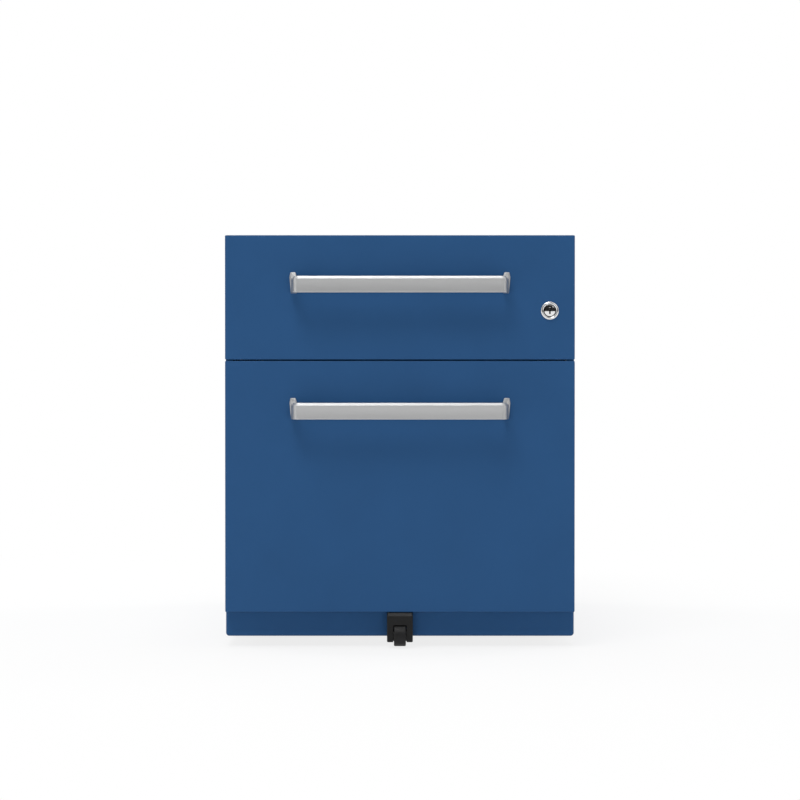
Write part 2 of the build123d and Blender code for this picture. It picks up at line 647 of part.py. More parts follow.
def lock_barrel():
    """Fixed barrel with a bezel that slopes to both sides of a rounded crest."""
    bore = CORE_DIAMETER / 2 + CORE_FIT
    rim = BEZEL_DIAMETER / 2
    profile = Polygon(
        (bore, 0), (rim, 0), (rim, BEZEL_RIM), (CREST_DIAMETER / 2, BEZEL_HEIGHT),
        (bore, BEZEL_HEIGHT - BEZEL_DISH), align=None)
    corners = profile.vertices().sort_by(Axis.Y)
    profile = fillet(corners[-1], CREST_ROUND)
    profile = fillet(profile.vertices().sort_by_distance((rim, BEZEL_RIM))[0], BEZEL_RIM_ROUND)
    half_plane = Plane(origin=(LOCK_X, FACE_Y, LOCK_Z), x_dir=(1, 0, 0), z_dir=(0, 0, -1))
    bezel = revolve(half_plane * profile, Axis((LOCK_X, FACE_Y, LOCK_Z), (0, 1, 0)))
    body = rod(BARREL_DIAMETER / 2, (LOCK_X, FACE_Y, LOCK_Z), (LOCK_X, FACE_Y + BARREL_LENGTH, LOCK_Z))
    body -= rod(bore, (LOCK_X, FACE_Y - OVERRUN, LOCK_Z), (LOCK_X, FACE_Y + BARREL_LENGTH + OVERRUN, LOCK_Z))
    return bezel + body


def lock_nut():
    """Ring nut that clamps the barrel behind the face of the front."""
    near = FACE_Y + SHEET
    ring = rod(LOCK_NUT_DIAMETER / 2, (LOCK_X, near, LOCK_Z), (LOCK_X, near + LOCK_NUT_HEIGHT, LOCK_Z))
    return ring - rod(
        BARREL_DIAMETER / 2 + PRESS_FIT,
        (LOCK_X, near - OVERRUN, LOCK_Z), (LOCK_X, near + LOCK_NUT_HEIGHT + OVERRUN, LOCK_Z))


def lock_core():
    """Turning core with a domed face, a keyway in front and a square tail behind."""
    face = FACE_Y - BEZEL_HEIGHT + CORE_RECESS
    end = FACE_Y + BARREL_LENGTH
    core = rod(CORE_DIAMETER / 2, (LOCK_X, face, LOCK_Z), (LOCK_X, end, LOCK_Z))
    core &= Pos(LOCK_X, face + CORE_CROWN_RADIUS, LOCK_Z) * Sphere(CORE_CROWN_RADIUS)
    half = TAIL_SIDE / 2
    core += block((LOCK_X - half, end, LOCK_Z - half), (LOCK_X + half, end + TAIL_LENGTH, LOCK_Z + half))
    keyway = block(
        (LOCK_X - KEYWAY_WIDTH / 2, face - OVERRUN, LOCK_Z - KEYWAY_HEIGHT / 2),
        (LOCK_X + KEYWAY_WIDTH / 2, face + KEYWAY_DEPTH, LOCK_Z + KEYWAY_HEIGHT / 2))
    return core - keyway


def lock_cam():
    """Cam arm on the tail of the core, with the pin that lifts the lock bar."""
    tip = (LOCK_X + CAM_RISE, LOCK_Z - CAM_RISE)
    outline = make_hull([
        *(Pos(LOCK_X, LOCK_Z) * Circle(CAM_HUB_RADIUS)).edges(),
        *(Pos(*tip) * Circle(CAM_TIP_RADIUS)).edges()])
    cam = extrude(Plane.XZ.offset(-CAM_Y) * outline, amount=-CAM_SHEET)
    half = TAIL_SIDE / 2 + TAIL_FIT
    cam -= block(
        (LOCK_X - half, CAM_Y - OVERRUN, LOCK_Z - half), (LOCK_X + half, CAM_Y + OVERRUN, LOCK_Z + half))
    return cam + rod(
        PIN_DIAMETER / 2, (tip[0], CAM_Y, tip[1]), (tip[0], BAR_Y + BAR_SHEET + PIN_OVERLAP, tip[1]))


def lock_bar():
    """Lifting bar: a slotted strip with a fork for the cam pin and a tab for each drawer."""
    inner = BAR_X - BAR_SHEET
    tab_drop = CATCH_DIAMETER / 2 + CATCH_DROP_GAP
    tab_height = BAR_LIFT + TAB_SPARE
    slot = GUIDE_DIAMETER + 2 * GUIDE_SLIP
    bottom = LOWER_CATCH_Z - tab_drop - tab_height - BAR_END
    bar = block((inner, BAR_Y, bottom), (BAR_X, BAR_Y + BAR_WIDTH, UPPER_GUIDE_Z + slot / 2 + BAR_END))
    tab_x = TRAY_X + TAB_SIDE_GAP
    for height in (LOWER_CATCH_Z, UPPER_CATCH_Z):
        top = height - tab_drop
        bar += block((tab_x, BAR_Y, top - tab_height), (BAR_X, BAR_Y + BAR_SHEET, top))
    pin_z = LOCK_Z - CAM_RISE
    room = PIN_DIAMETER / 2 + FORK_GAP
    bar += block(
        (tab_x, BAR_Y, pin_z - room - FORK_WALL), (BAR_X, BAR_Y + BAR_SHEET, pin_z + room + FORK_WALL))
    throat = LOCK_X + CAM_RADIUS + room
    bar -= block(
        (tab_x - OVERRUN, BAR_Y - OVERRUN, pin_z - room), (throat, BAR_Y + OVERRUN, pin_z + room))
    for height in (LOWER_GUIDE_Z, UPPER_GUIDE_Z):
        side = Plane.YZ.offset(inner - OVERRUN)
        outline = Pos(BAR_Y + GUIDE_SETBACK, height - BAR_LIFT / 2) * SlotCenterToCenter(
            BAR_LIFT, slot, rotation=90)
        bar -= extrude(side * outline, amount=BAR_SHEET + 2 * OVERRUN)
    return bar


def lock_bar_studs():
    """Two shoulder studs on the right front upright that guide the lock bar."""
    y = BAR_Y + GUIDE_SETBACK
    head_x = BAR_X - BAR_SHEET - GUIDE_SLIP
    studs = []
    for z in (LOWER_GUIDE_Z, UPPER_GUIDE_Z):
        stud = rod(GUIDE_DIAMETER / 2, (UPRIGHT_X, y, z), (head_x, y, z))
        stud += rod(GUIDE_HEAD / 2, (head_x, y, z), (head_x - GUIDE_HEAD_HEIGHT, y, z))
        studs.append(stud)
    return group(studs)


# Fifth castor

def fifth_screw_places():
    """Places of the two screws of the fifth castor, as X and Y."""
    x = (FIFTH_WIDTH + FIFTH_SLOT) / 2 / 2
    y = FIFTH_Y + FIFTH_SCREW_SETBACK
    return ((-x, y), (x, y))


def fifth_castor_housing():
    """Moulded housing: a bevelled shoulder in front of the face, a slot with two bosses and a neck above."""
    half = FIFTH_WIDTH / 2
    front = FACE_Y - FIFTH_PROUD
    back = FRONT_BACK_Y - FIFTH_BACK_GAP
    shoulder = LOWER_FRONT_Z - FIFTH_TOP_GAP
    body = block((-half, front, FIFTH_LIFT), (half, back, shoulder))
    body = chamfer(body.faces().sort_by(Axis.Z)[-1].edges().sort_by(Axis.Y)[0], FIFTH_BEVEL)
    ahead = body.edges().filter_by(lambda edge: edge.center().Y < front + FIFTH_BEVEL).group_by(Axis.X)
    body = fillet(ahead[0] + ahead[-1], FIFTH_ROUND)
    body = fillet(body.faces().sort_by(Axis.Z)[0].edges(), FIFTH_ROUND)
    neck = half - FIFTH_NECK_INSET
    body += block((-neck, FACE_Y + FIFTH_NECK_SETBACK, FIFTH_Z), (neck, back, LOWER_FRONT_Z))
    room = FIFTH_WHEEL_DIAMETER / 2 + FIFTH_SLOT_GAP
    slot = rod(room, (-FIFTH_SLOT / 2, FIFTH_Y, FIFTH_Z), (FIFTH_SLOT / 2, FIFTH_Y, FIFTH_Z))
    slot += block(
        (-FIFTH_SLOT / 2, FIFTH_Y - room, FIFTH_LIFT - OVERRUN), (FIFTH_SLOT / 2, FIFTH_Y + room, FIFTH_Z))
    body -= slot
    boss = FIFTH_WHEEL_WIDTH / 2 - FIFTH_BOSS_DEPTH
    for side in (-1, 1):
        start, end = (side * boss, FIFTH_Y, FIFTH_Z), (side * FIFTH_SLOT / 2, FIFTH_Y, FIFTH_Z)
        body += rod(FIFTH_BOSS_DIAMETER / 2, start, end)
    axle = FIFTH_AXLE_LENGTH / 2 + PRESS_FIT
    body -= rod(FIFTH_AXLE_DIAMETER / 2 + PRESS_FIT, (-axle, FIFTH_Y, FIFTH_Z), (axle, FIFTH_Y, FIFTH_Z))
    for x, y in fifth_screw_places():
        body -= rod(
            FIFTH_SCREW_DIAMETER / 2 + SCREW_FIT,
            (x, y, FIFTH_LIFT - OVERRUN), (x, y, LOWER_FRONT_Z + OVERRUN))
        body -= rod(
            FIFTH_SCREW_HEAD / 2 + SCREW_FIT,
            (x, y, FIFTH_LIFT - OVERRUN), (x, y, FIFTH_LIFT + FIFTH_SCREW_HEAD_HEIGHT))
    return body


def fifth_castor_screws():
    """Two screws up through the housing into the lower fold of the front."""
    seat = FIFTH_LIFT + FIFTH_SCREW_HEAD_HEIGHT
    screws = []
    for x, y in fifth_screw_places():
        screw = rod(FIFTH_SCREW_HEAD / 2, (x, y, FIFTH_LIFT), (x, y, seat))
        screw += rod(FIFTH_SCREW_DIAMETER / 2, (x, y, seat), (x, y, LOWER_FRONT_Z + FIFTH_SCREW_END))
        screws.append(screw)
    return group(screws)


def wheel(radius, width, bore, edge_round, middle):
    """Plain wheel on an axle along X, with rounded tread edges."""
    x, y, z = middle
    body = rod(radius, (x - width / 2, y, z), (x + width / 2, y, z))
    body = fillet(body.edges().filter_by(GeomType.CIRCLE), edge_round)
    return body - rod(bore, (x - width / 2 - OVERRUN, y, z), (x + width / 2 + OVERRUN, y, z))


def fifth_castor_wheel():
    """Wheel of the fifth castor, with a recess in each side for the bosses of the housing."""
    bore = FIFTH_AXLE_DIAMETER / 2 + RUNNING_FIT
    disc = wheel(FIFTH_WHEEL_DIAMETER / 2, FIFTH_WHEEL_WIDTH, bore, FIFTH_WHEEL_ROUND, (0, FIFTH_Y, FIFTH_Z))
    floor = FIFTH_WHEEL_WIDTH / 2 - FIFTH_BOSS_DEPTH - FIFTH_BOSS_GAP
    for side in (-1, 1):
        start, end = (side * floor, FIFTH_Y, FIFTH_Z), (side * (floor + OVERRUN), FIFTH_Y, FIFTH_Z)
        disc -= rod(FIFTH_BOSS_DIAMETER / 2 + FIFTH_BOSS_GAP, start, end)
    return disc


def fifth_castor_axle():
    """Axle pin held in the two cheeks of the housing."""
    half = FIFTH_AXLE_LENGTH / 2
    return rod(FIFTH_AXLE_DIAMETER / 2, (-half, FIFTH_Y, FIFTH_Z), (half, FIFTH_Y, FIFTH_Z))


# Hidden castors

def castor_stems():
    """Threaded stems with a collar under the base pan."""
    top = BASE_TOP + STEM_END
    collar = BASE_UNDER_Z - STEM_COLLAR_HEIGHT
    stems = []
    for x, y in CASTOR_PLACES.values():
        stem = rod(STEM_DIAMETER / 2, (x, y, collar - STEM_DEPTH), (x, y, top))
        stem += rod(STEM_COLLAR_DIAMETER / 2, (x, y, collar), (x, y, BASE_UNDER_Z))
        stems.append(stem)
    return group(stems)


def castor_nuts():
    """Hexagon nuts on top of the base pan."""
    nuts = []
    for x, y in CASTOR_PLACES.values():
        outline = Pos(x, y) * RegularPolygon(NUT_SIZE / 2, 6, major_radius=False)
        nut = extrude(Plane.XY.offset(BASE_TOP) * outline, amount=NUT_HEIGHT)
        nut -= rod(STEM_DIAMETER / 2 + PRESS_FIT, (x, y, BASE_TOP - OVERRUN), (x, y, BASE_TOP + OVERRUN))
        nuts.append(nut)
    return group(nuts)


def castor_hood(x, y):
    """Castor body: a hood over the two wheels, a web between them and a boss round the stem."""
    axle_y = y + CASTOR_TRAIL
    axle_z = CASTOR_WHEEL_DIAMETER / 2
    room = axle_z + CASTOR_HOOD_GAP
    reach = room + CASTOR_HOOD_SHEET
    half_web = CASTOR_WEB / 2
    half_width = half_web + CASTOR_WEB_GAP + CASTOR_WHEEL_WIDTH
    top = BASE_UNDER_Z - STEM_COLLAR_HEIGHT - STEM_COLLAR_GAP
    hood = rod(reach, (x - half_width, axle_y, axle_z), (x + half_width, axle_y, axle_z))
    hood += rod(CASTOR_BOSS_DIAMETER / 2, (x, y, axle_z + CASTOR_HOOD_RISE), (x, y, top))
    hood -= block(
        (x - half_width - OVERRUN, axle_y - reach - OVERRUN, axle_z - reach - OVERRUN),
        (x + half_width + OVERRUN, axle_y + reach + OVERRUN, axle_z + CASTOR_HOOD_RISE))
    hood -= rod(room, (x - half_width - OVERRUN, axle_y, axle_z), (x + half_width + OVERRUN, axle_y, axle_z))
    web = rod(room + CASTOR_HOOD_SHEET / 2, (x - half_web, axle_y, axle_z), (x + half_web, axle_y, axle_z))
    web -= block(
        (x - CASTOR_WEB, axle_y - reach - OVERRUN, axle_z - reach - OVERRUN),
        (x + CASTOR_WEB, axle_y + reach + OVERRUN, axle_z + CASTOR_HOOD_RISE))
    web += rod(CASTOR_WEB_RADIUS, (x - half_web, axle_y, axle_z), (x + half_web, axle_y, axle_z))
    body = hood + web
    body -= rod(
        CASTOR_AXLE_DIAMETER / 2 + RUNNING_FIT,
        (x - CASTOR_WEB, axle_y, axle_z), (x + CASTOR_WEB, axle_y, axle_z))
    return body - rod(
        STEM_DIAMETER / 2 + RUNNING_FIT,
        (x, y, BASE_UNDER_Z - STEM_COLLAR_HEIGHT - STEM_DEPTH - STEM_COLLAR_GAP), (x, y, top + OVERRUN))


def castor_wheels(x, y):
    """Two dished wheels, one on each side of the web."""
    axle_y = y + CASTOR_TRAIL
    radius = CASTOR_WHEEL_DIAMETER / 2
    offset = CASTOR_WEB / 2 + CASTOR_WEB_GAP + CASTOR_WHEEL_WIDTH / 2
    pair = []
    for side in (-1, 1):
        middle = (x + side * offset, axle_y, radius)
        bore = CASTOR_AXLE_DIAMETER / 2 + PRESS_FIT
        disc = wheel(radius, CASTOR_WHEEL_WIDTH, bore, CASTOR_TREAD_ROUND, middle)
        rim_x = x + side * (offset + CASTOR_WHEEL_WIDTH / 2)
        disc -= rod(
            radius * CASTOR_DISH_SHARE,
            (rim_x - side * CASTOR_DISH, axle_y, radius), (rim_x + side * OVERRUN, axle_y, radius))
        pair.append(disc)
    return group(pair)


def castor_axle(x, y):
    """Axle that carries both wheels and turns in the web."""
    axle_y = y + CASTOR_TRAIL
    radius = CASTOR_WHEEL_DIAMETER / 2
    half = CASTOR_WEB / 2 + CASTOR_WEB_GAP + CASTOR_WHEEL_WIDTH - CASTOR_DISH
    return rod(CASTOR_AXLE_DIAMETER / 2, (x - half, axle_y, radius), (x + half, axle_y, radius))


def all_nodes():
    """Every piece by its name."""
    uprights = runner_uprights()
    nodes = {
        "carcase_wrap": carcase_wrap(),
        "front_plinth": front_plinth(),
        "back_panel": back_panel(),
        "base_pan": base_pan(),
        "left_runner_uprights": mirror(uprights, about=Plane.YZ),
        "right_runner_uprights": uprights,
        "upper_tray": tray(UPPER_TRAY_Z, UPPER_TRAY_TOP, HEIGHT),
        "lower_tray": tray(LOWER_TRAY_Z, LOWER_TRAY_TOP, LOWER_FRONT_TOP),
        "upper_front": upper_front(),
        "lower_front": lower_front(),
        "upper_handle": bow_handle(HEIGHT),
        "lower_handle": bow_handle(LOWER_FRONT_TOP),
        "upper_handle_screws": handle_screws(HEIGHT),
        "lower_handle_screws": handle_screws(LOWER_FRONT_TOP),
        "upper_bump_stops": bump_stops(UPPER_FRONT_Z, HEIGHT),
        "lower_bump_stops": bump_stops(LOWER_FRONT_Z, LOWER_FRONT_TOP),
        "upper_catch_stud": catch_stud(UPPER_CATCH_Z),
        "lower_catch_stud": catch_stud(LOWER_CATCH_Z),
        "lock_barrel": lock_barrel(),
        "lock_nut": lock_nut(),
        "lock_core": lock_core(),
        "lock_cam": lock_cam(),
        "lock_bar": lock_bar(),
        "lock_bar_studs": lock_bar_studs(),
        "fifth_castor_housing": fifth_castor_housing(),
        "fifth_castor_screws": fifth_castor_screws(),
        "fifth_castor_wheel": fifth_castor_wheel(),
        "fifth_castor_axle": fifth_castor_axle(),
        "castor_stems": castor_stems(),
        "castor_nuts": castor_nuts(),
    }
    for drawer, middle in (("upper", UPPER_RUNNER_Z), ("lower", LOWER_RUNNER_Z)):
        members = {"outer": outer_member, "intermediate": intermediate_member, "inner": inner_member}
        for name, make in members.items():
            member = make(middle)
            nodes[f"{drawer}_left_{name}_member"] = mirror(member, about=Plane.YZ)
            nodes[f"{drawer}_right_{name}_member"] = member
        nodes[f"{drawer}_outer_ball_cages"] = both_sides(outer_cage(middle))
        nodes[f"{drawer}_inner_ball_cages"] = both_sides(inner_cage(middle))
    for place, (x, y) in CASTOR_PLACES.items():
        nodes[f"{place}_castor_hood"] = castor_hood(x, y)
        nodes[f"{place}_castor_wheels"] = castor_wheels(x, y)
        nodes[f"{place}_castor_axle"] = castor_axle(x, y)
    return nodes


os.makedirs("parts", exist_ok=True)
for name, shape in all_nodes().items():
    export_step(shape, f"parts/{name}.step")
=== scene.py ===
import json
import math

import bpy
import numpy as np
from mathutils import Euler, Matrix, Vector


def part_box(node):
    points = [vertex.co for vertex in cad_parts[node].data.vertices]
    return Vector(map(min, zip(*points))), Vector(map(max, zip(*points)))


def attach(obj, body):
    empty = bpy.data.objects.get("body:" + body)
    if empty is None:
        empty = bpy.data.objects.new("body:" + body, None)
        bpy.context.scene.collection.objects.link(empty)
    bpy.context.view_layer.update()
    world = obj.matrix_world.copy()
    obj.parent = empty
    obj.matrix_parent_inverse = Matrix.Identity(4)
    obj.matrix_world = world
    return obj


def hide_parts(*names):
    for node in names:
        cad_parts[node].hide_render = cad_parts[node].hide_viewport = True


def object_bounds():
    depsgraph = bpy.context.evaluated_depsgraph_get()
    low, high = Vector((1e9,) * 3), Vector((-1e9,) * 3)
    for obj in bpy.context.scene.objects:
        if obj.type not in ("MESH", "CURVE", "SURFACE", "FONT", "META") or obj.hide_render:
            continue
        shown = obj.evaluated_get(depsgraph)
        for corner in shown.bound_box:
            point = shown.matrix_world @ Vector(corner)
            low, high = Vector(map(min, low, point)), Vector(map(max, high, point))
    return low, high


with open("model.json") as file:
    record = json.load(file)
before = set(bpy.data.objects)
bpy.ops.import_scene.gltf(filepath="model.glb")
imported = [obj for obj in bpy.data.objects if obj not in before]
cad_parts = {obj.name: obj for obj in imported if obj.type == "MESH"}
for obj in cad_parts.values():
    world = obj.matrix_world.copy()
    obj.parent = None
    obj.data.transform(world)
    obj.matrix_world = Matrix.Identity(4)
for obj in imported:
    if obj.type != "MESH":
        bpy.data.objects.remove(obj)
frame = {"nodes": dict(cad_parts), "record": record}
cad_low, cad_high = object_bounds()
nodes = frame["nodes"]
slot_of = {part["node"]: part["material_slot"] for part in frame["record"]["subparts"]}


# Finishes

BLUE = (0.0175, 0.0700, 0.1790)
TRAY_GREY = (0.42, 0.43, 0.44)
PAINT_ROUGHNESS = 0.50
PAINT_ROUGHNESS_SPREAD = 0.05
PAINT_SPECULAR = 0.15
PLASTIC_SPECULAR = 0.30

# Spot welds in the carcase sheet, in metres
WELD_RADIUS = 0.0036
WELD_FLAT_SHARE = 0.4          # of the radius, flat at the bottom of a mark
WELD_DEPTH = 0.00012
WELD_PITCH = 0.072
WELD_FIRST_Z = 0.080
UPRIGHT_FLANGE_MIDDLE = 0.0045
UPRIGHT_WIDTH = 0.052


def new_finish(name, color, roughness, metallic=0.0):
    """A material with its shader's plain values set; returns it with its node tree and shader."""
    material = bpy.data.materials.new(name)
    material.use_nodes = True
    tree = material.node_tree
    shader = tree.nodes["Principled BSDF"]
    shader.inputs["Base Color"].default_value = (*color, 1.0)
    shader.inputs["Roughness"].default_value = roughness
    shader.inputs["Metallic"].default_value = metallic
    return material, tree, shader


def object_places(tree, stretch=(1.0, 1.0, 1.0)):
    """Object coordinates in metres, stretched along each axis."""
    places = tree.nodes.new("ShaderNodeTexCoord")
    mapping = tree.nodes.new("ShaderNodeMapping")
    mapping.inputs["Scale"].default_value = stretch
    tree.links.new(places.outputs["Object"], mapping.inputs["Vector"])
    return mapping.outputs["Vector"]


def noise(tree, places, scale, detail=2.0, rough=0.5):
    """Noise of a given number of waves per metre."""
    node = tree.nodes.new("ShaderNodeTexNoise")
    node.inputs["Scale"].default_value = scale
    node.inputs["Detail"].default_value = detail
    node.inputs["Roughness"].default_value = rough
    tree.links.new(places, node.inputs["Vector"])
    return node.outputs["Fac"]


def math_node(tree, operation, first, second=None):
    """One sum on sockets or plain numbers."""
    node = tree.nodes.new("ShaderNodeMath")
    node.operation = operation
    for socket, value in zip(node.inputs, (first, second)):
        if isinstance(value, bpy.types.NodeSocket):
            tree.links.new(value, socket)
        elif value is not None:
            socket.default_value = value
    return node.outputs["Value"]


def wrapped(tree, value, pitch):
    """Distance from the nearest of a row of places at one pitch."""
    node = math_node(tree, "WRAP", value, pitch / 2).node
    node.inputs[2].default_value = -pitch / 2
    return node.outputs["Value"]


def spread(tree, value, low, high, start=0.3, end=0.7):
    """A value, from noise unless its start and end are given, spread between two numbers."""
    node = tree.nodes.new("ShaderNodeMapRange")
    node.inputs["From Min"].default_value = start
    node.inputs["From Max"].default_value = end
    node.inputs["To Min"].default_value = low
    node.inputs["To Max"].default_value = high
    tree.links.new(value, node.inputs["Value"])
    return node.outputs["Result"]


def vary_color(tree, shader, value, color, dark, light, start=0.3, end=0.7):
    """Let noise move the shader's colour between a darker and a lighter tint of it."""
    node = tree.nodes.new("ShaderNodeValToRGB")
    for element, position, tint in zip(node.color_ramp.elements, (start, end), (dark, light)):
        element.position = position
        element.color = (*(channel * tint for channel in color), 1.0)
    tree.links.new(value, node.inputs["Fac"])
    tree.links.new(node.outputs["Color"], shader.inputs["Base Color"])


def vary_roughness(tree, shader, value, low, high):
    """Let noise move the shader's roughness between two numbers."""
    tree.links.new(spread(tree, value, low, high), shader.inputs["Roughness"])


def relief(tree, shader, height, depth, strength=1.0, below=None):
    """Bump of a given depth in metres on the shader's normal, on top of the relief below it."""
    node = tree.nodes.new("ShaderNodeBump")
    node.inputs["Strength"].default_value = strength
    node.inputs["Distance"].default_value = depth
    tree.links.new(height, node.inputs["Height"])
    if below is not None:
        tree.links.new(below, node.inputs["Normal"])
    tree.links.new(node.outputs["Normal"], shader.inputs["Normal"])
    return node.outputs["Normal"]


def weld_marks(tree, places, columns):
    """Height of shallow round dimples, one column of them at each Y, evenly spaced in Z."""
    axes = tree.nodes.new("ShaderNodeSeparateXYZ")
    tree.links.new(places, axes.inputs["Vector"])
    aside = None
    for column in columns:
        reach = math_node(tree, "ABSOLUTE", math_node(tree, "SUBTRACT", axes.outputs["Y"], column))
        aside = reach if aside is None else math_node(tree, "MINIMUM", aside, reach)
    along = wrapped(tree, math_node(tree, "SUBTRACT", axes.outputs["Z"], WELD_FIRST_Z), WELD_PITCH)
    squares = [math_node(tree, "MULTIPLY", value, value) for value in (aside, along)]
    reach = math_node(tree, "SQRT", math_node(tree, "ADD", *squares))
    return spread(tree, reach, low=0.0, high=1.0, start=WELD_RADIUS * WELD_FLAT_SHARE, end=WELD_RADIUS)


def powder_coat(name, color, weld_columns=()):
    """Baked powder paint: an even colour with fine orange peel and a satin gloss, over faint weld marks."""
    material, tree, shader = new_finish(name, color, PAINT_ROUGHNESS)
    shader.inputs["Specular IOR Level"].default_value = PAINT_SPECULAR
    places = object_places(tree)
    vary_color(tree, shader, noise(tree, places, scale=14.0, detail=3.0), color, dark=0.97, light=1.03)
    vary_roughness(
        tree, shader, noise(tree, places, scale=260.0),
        low=PAINT_ROUGHNESS - PAINT_ROUGHNESS_SPREAD, high=PAINT_ROUGHNESS + PAINT_ROUGHNESS_SPREAD)
    peel = relief(tree, shader, noise(tree, places, scale=420.0, detail=1.0), depth=0.00005, strength=0.5)
    fine = relief(
        tree, shader, noise(tree, places, scale=1500.0, detail=1.0), depth=0.00002, strength=0.5, below=peel)
    if weld_columns:
        relief(tree, shader, weld_marks(tree, places, weld_columns), depth=WELD_DEPTH, below=fine)
    return material


def blue_powder_coat():
    """Blue paint of the drawer fronts, the plinth and the base."""
    return powder_coat("blue_powder_coat", BLUE)


def blue_coat_over_welds():
    """Blue paint of the carcase sheet, where the flanges of the uprights are spot-welded behind it."""
    low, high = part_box("left_runner_uprights")
    inner = UPRIGHT_WIDTH - UPRIGHT_FLANGE_MIDDLE
    columns = (low.y + UPRIGHT_FLANGE_MIDDLE, low.y + inner, high.y - inner, high.y - UPRIGHT_FLANGE_MIDDLE)
    return powder_coat("blue_coat_over_welds", BLUE, columns)


def grey_powder_coat():
    """Light grey paint of the drawer trays."""
    return powder_coat("grey_powder_coat", TRAY_GREY)


def satin_silver():
    """Silver finish of the cast handles: a soft sheen with a very fine flake."""
    color = (0.47, 0.473, 0.476)
    material, tree, shader = new_finish("satin_silver", color, roughness=0.33, metallic=0.50)
    places = object_places(tree)
    flake = noise(tree, places, scale=2600.0, detail=1.0)
    vary_color(tree, shader, flake, color, dark=0.94, light=1.05)
    vary_roughness(tree, shader, noise(tree, places, scale=120.0), low=0.30, high=0.37)
    relief(tree, shader, flake, depth=0.00001, strength=0.4)
    return material


def lock_chrome():
    """Bright nickel and chrome plate of the lock."""
    material, tree, shader = new_finish("lock_chrome", (0.80, 0.80, 0.80), roughness=0.06, metallic=1.0)
    smear = noise(tree, object_places(tree), scale=500.0, detail=3.0)
    vary_roughness(tree, shader, smear, low=0.03, high=0.10)
    return material


def zinc_plate():
    """Zinc-plated steel of screws, studs, uprights and lock parts."""
    color = (0.58, 0.60, 0.62)
    material, tree, shader = new_finish("zinc_plate", color, roughness=0.38, metallic=1.0)
    places = object_places(tree)
    cloud = noise(tree, places, scale=70.0, detail=4.0, rough=0.6)
    vary_color(tree, shader, cloud, color, dark=0.86, light=1.08)
    vary_roughness(tree, shader, noise(tree, places, scale=240.0, detail=3.0), low=0.28, high=0.46)
    relief(tree, shader, noise(tree, places, scale=900.0), depth=0.00002, strength=0.4)
    return material


def rolled_runner_steel():
    """Bright rolled steel of the runners, with drawing lines along their length."""
    color = (0.62, 0.63, 0.64)
    material, tree, shader = new_finish("rolled_runner_steel", color, roughness=0.28, metallic=1.0)
    lines = noise(tree, object_places(tree, stretch=(1.0, 0.02, 1.0)), scale=900.0, detail=3.0)
    vary_color(tree, shader, lines, color, dark=0.88, light=1.06)
    vary_roughness(tree, shader, noise(tree, object_places(tree), scale=40.0), low=0.22, high=0.36)
    relief(tree, shader, lines, depth=0.00001, strength=0.4)
    return material


def moulded_black():
    """Black moulded plastic with a fine spark-eroded grain."""
    color = (0.0035, 0.0036, 0.0038)
    material, tree, shader = new_finish("moulded_black", color, roughness=0.42)
    shader.inputs["Specular IOR Level"].default_value = PLASTIC_SPECULAR
    places = object_places(tree)
    vary_color(tree, shader, noise(tree, places, scale=60.0), color, dark=0.9, light=1.15)
    vary_roughness(tree, shader, noise(tree, places, scale=300.0), low=0.36, high=0.48)
    relief(tree, shader, noise(tree, places, scale=1800.0), depth=0.00003, strength=0.6)
    return material


def wheel_black():
    """Hard black tread of the castor wheels, slightly scuffed."""
    color = (0.0060, 0.0060, 0.0064)
    material, tree, shader = new_finish("wheel_black", color, roughness=0.5)
    shader.inputs["Specular IOR Level"].default_value = PLASTIC_SPECULAR
    scuff = noise(tree, object_places(tree), scale=220.0, detail=4.0, rough=0.65)
    vary_color(tree, shader, scuff, color, dark=0.8, light=1.4)
    vary_roughness(tree, shader, scuff, low=0.45, high=0.68)
    relief(tree, shader, scuff, depth=0.00004, strength=0.5)
    return material


def stop_rubber():
    """Matt black rubber of the bump stops."""
    color = (0.02, 0.02, 0.02)
    material, tree, shader = new_finish("stop_rubber", color, roughness=0.75)
    grain = noise(tree, object_places(tree), scale=900.0, detail=3.0)
    vary_color(tree, shader, grain, color, dark=0.8, light=1.3)
    relief(tree, shader, grain, depth=0.00004, strength=0.5)
    return material


finishes = {
    "blue_paint": blue_powder_coat(),
    "grey_paint": grey_powder_coat(),
    "zinc_steel": zinc_plate(),
    "runner_steel": rolled_runner_steel(),
    "handle_silver": satin_silver(),
    "lock_chrome": lock_chrome(),
    "black_plastic": moulded_black(),
    "black_tread": wheel_black(),
    "black_rubber": stop_rubber(),
}
for name, node in nodes.items():
    node.data.materials.clear()
    node.data.materials.append(finishes[slot_of[name]])
nodes["carcase_wrap"].data.materials[0] = blue_coat_over_welds()


# New pieces, with their sizes in millimetres

MM = 0.001
SHARP_ANGLE = math.radians(38.0)
ROUND_COLUMNS = 96

# Lock ring and barrel
RING_BORE = 6.58
RING_GROOVE = 7.5
RING_CREST = 9.0
RING_OUTER = 11.2
RING_HEIGHT = 3.0
RING_SIDE = 0.5                # upright outer edge
RING_GROOVE_EDGE = 1.2
RING_GROOVE_STEP = 0.3         # upright wall below the edge of the groove
RING_BORE_LENGTH = 3.0
RING_FLOOR_SLOPE = 0.2         # rise of the groove's floor from the bore
RING_OUTER_SWEEP = (2, 90)     # degrees of the two quarter ellipses
RING_INNER_SWEEP = (94, 176)
RING_OUTER_ROWS = 20
RING_INNER_ROWS = 12
BARREL_RADIUS = 8.5
BARREL_END_RADIUS = 8.2
BARREL_LEAD = 0.4              # from the end of the barrel to its thread
BARREL_PLAIN = 1.5             # from the thread to the face
BARREL_THREAD_DEPTH = 0.44
BARREL_THREAD_PITCH = 1.0
BARREL_THREAD_ROWS = 120

